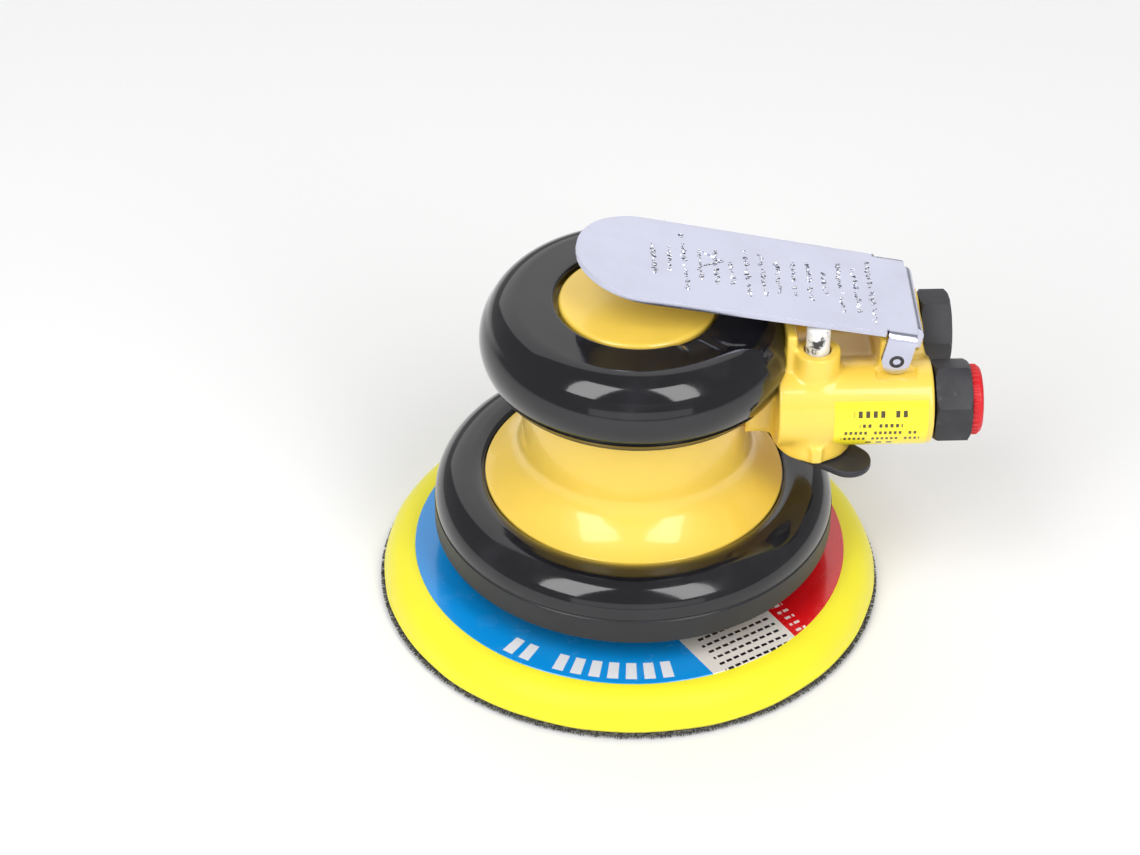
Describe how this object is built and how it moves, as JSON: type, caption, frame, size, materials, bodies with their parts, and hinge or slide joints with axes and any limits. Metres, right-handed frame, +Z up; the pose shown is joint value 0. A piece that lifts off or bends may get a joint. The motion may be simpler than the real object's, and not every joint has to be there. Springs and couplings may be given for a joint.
{
  "type": "orbital sander",
  "caption": "Palm-size pneumatic random-orbit sander: round hook-faced pad, bell shroud, waisted body with grip ring, throttle lever, air inlet and muffler.",
  "frame": {"origin": "where the motor axis meets the pad's working face", "axes": "+Z up along the motor axis, +X along the arm towards the air inlet, inlet side of the arm at -Y"},
  "size_m": [0.1469, 0.1259, 0.1011],
  "materials": {
    "yellow_paint": "cast aluminium in semi-gloss yellow enamel",
    "gloss_rubber": "gloss moulded rubber",
    "seal_rubber": "matt",
    "machined_steel": "machined",
    "bearing_steel": "ground",
    "cast_metal": "machined casting",
    "aluminium": "machined",
    "black_oxide": "black oxide",
    "brass": "machined",
    "black_plastic": "moulded, fine grain",
    "white_plastic": "moulded",
    "red_plastic": "moulded",
    "felt": "felt",
    "yellow_film": "printed film",
    "bright_nickel": "bright plated sheet",
    "blade_composite": "laminate",
    "backing_composite": "moulded composite",
    "printed_film": "printed film",
    "yellow_foam": "moulded foam skin",
    "hook_cloth": "hook cloth"
  },
  "bodies": {
    "tool_body": {"housing": "yellow_paint", "housing_arm": "yellow_paint", "grip_ring": "gloss_rubber", "shroud": "gloss_rubber", "motor_cylinder": "machined_steel", "upper_end_plate": "cast_metal", "lower_end_plate": "cast_metal", "lock_ring": "aluminium", "dowel_pins": "machined_steel", "motor_bearing_outer_rings": "bearing_steel", "inlet_bushing": "black_oxide", "bushing_o_ring": "seal_rubber", "inlet_screen": "brass", "valve_seat": "brass", "stem_guide": "brass", "stem_o_ring": "seal_rubber", "regulator_clip": "machined_steel", "muffler_body": "black_plastic", "muffler_felt": "felt", "inlet_sticker": "yellow_film", "valve_spring": "machined_steel"},
    "throttle_lever": {"lever": "bright_nickel", "lever_pin": "black_oxide"},
    "stem": {"valve_stem": "white_plastic"},
    "tip_valve_body": {"tip_valve": "machined_steel", "tip_valve_face": "seal_rubber"},
    "regulator": {"regulator_valve": "brass", "regulator_o_ring": "seal_rubber", "regulator_lever": "black_plastic", "regulator_screw": "machined_steel"},
    "crank": {"crankshaft": "machined_steel", "counterweight": "machined_steel", "weight_bolts": "black_oxide", "rotor": "machined_steel", "rotor_blades": "blade_composite", "rotor_key": "machined_steel", "shaft_circlip": "black_oxide", "motor_bearing_inner_rings": "bearing_steel", "motor_bearing_balls": "bearing_steel", "cup_snap_ring": "black_oxide", "pad_bearing_outer_rings": "bearing_steel", "pad_bearing_balls": "bearing_steel"},
    "pad": {"pad_bearing_inner_rings": "bearing_steel", "spindle": "machined_steel", "spindle_circlip": "black_oxide", "pad_stud": "machined_steel", "pad_rivets": "machined_steel", "pad_backing": "backing_composite", "pad_label": "printed_film", "pad_foam": "yellow_foam", "pad_hook": "hook_cloth"},
    "plug": {"dust_plug": "red_plastic"}
  },
  "joints": [
    {"name": "lever_hinge", "type": "hinge", "parent": "tool_body", "child": "throttle_lever", "pos_m": [0.0614, 0, 0.078], "axis": [0, -1, 0], "range_deg": [0, 7.5], "stiffness_Nm_per_rad": 1.2, "springref_deg": -8.59},
    {"name": "stem_slide", "type": "slide", "parent": "tool_body", "child": "stem", "axis": [0, 0, -1], "range_m": [0, 0.0027]},
    {"name": "tip_tilt", "type": "hinge", "parent": "tool_body", "child": "tip_valve_body", "pos_m": [0.0525, -0.0145, 0.07], "axis": [0, -1, 0], "range_deg": [0, 17], "deforming": ["valve_spring"]},
    {"name": "regulator_turn", "type": "hinge", "parent": "tool_body", "child": "regulator", "pos_m": [0.0425, -0.0145, 0.0513], "axis": [0, 0, 1], "range_deg": [-50, 40]},
    {"name": "crank_spin", "type": "hinge", "parent": "tool_body", "child": "crank", "pos_m": [0, 0, 0.05], "axis": [0, 0, 1], "continuous": true},
    {"name": "pad_spin", "type": "hinge", "parent": "crank", "child": "pad", "pos_m": [-0.00074, -0.00095, 0.01], "axis": [0, 0, 1], "continuous": true},
    {"name": "plug_pull", "type": "slide", "parent": "tool_body", "child": "plug", "axis": [1, 0, 0], "range_m": [0, 0.03]}
  ],
  "couplings": [
    {"joint": "stem_slide", "follows": "lever_hinge", "m_per_rad": 0.0201},
    {"joint": "tip_tilt", "follows": "lever_hinge", "ratio": 2.2}
  ]
}
